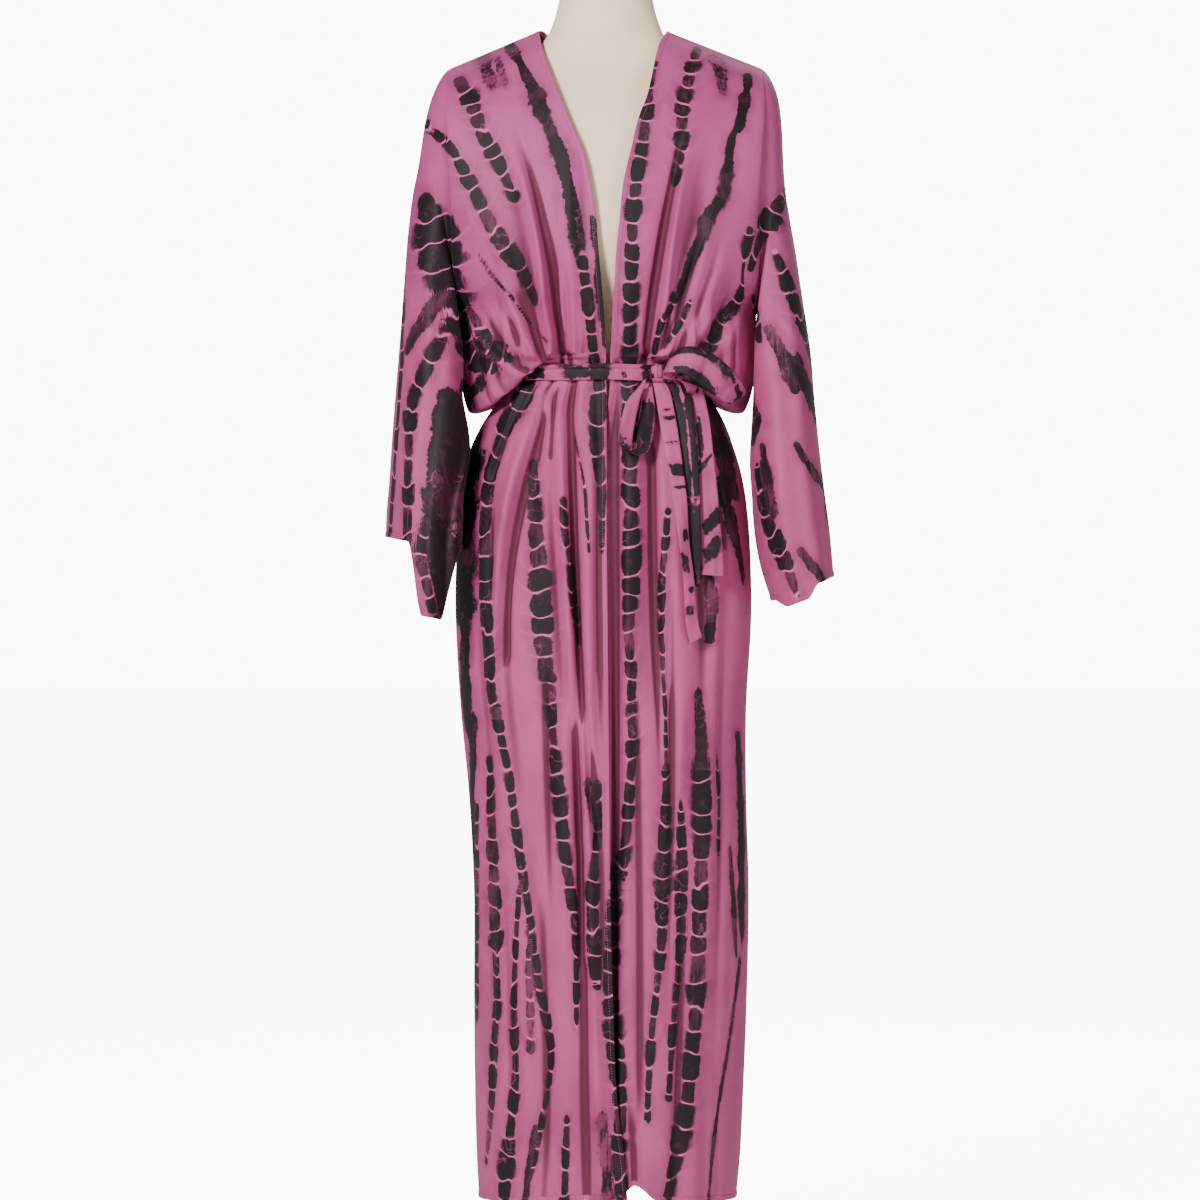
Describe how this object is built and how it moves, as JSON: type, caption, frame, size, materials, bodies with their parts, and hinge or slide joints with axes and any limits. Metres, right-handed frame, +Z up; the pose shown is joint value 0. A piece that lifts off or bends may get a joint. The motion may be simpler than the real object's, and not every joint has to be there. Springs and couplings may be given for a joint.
{
  "type": "kimono cover-up on a dress form",
  "caption": "Full-length pink tie-dye kimono cover-up with wide open sleeves and its own belt tied in a side bow, worn by a limbless dress form on a pole and round base.",
  "frame": {"origin": "centre of the base's underside, on the floor", "axes": "+Z up along the pole to the neck cap, +X to the viewer's right, the garment's front faces -Y"},
  "size_m": [0.539, 0.38, 1.618],
  "materials": {
    "dyed_cloth": "soft crepe weave, pink with near-black bound-resist dye ladders",
    "form_cover": "smooth stretched cream jersey",
    "stand_wood": "satin lacquer"
  },
  "bodies": {
    "root": {"robe_back": "dyed_cloth", "robe_front_left": "dyed_cloth", "robe_front_right": "dyed_cloth", "sleeve_left": "dyed_cloth", "sleeve_right": "dyed_cloth", "belt_band": "dyed_cloth", "belt_knot": "dyed_cloth", "bow_loop_left": "dyed_cloth", "bow_loop_right": "dyed_cloth", "belt_tail_long": "dyed_cloth", "belt_tail_short": "dyed_cloth", "form_torso": "form_cover", "form_neck_cap": "stand_wood", "form_pole": "stand_wood", "form_base": "stand_wood"}
  },
  "joints": []
}
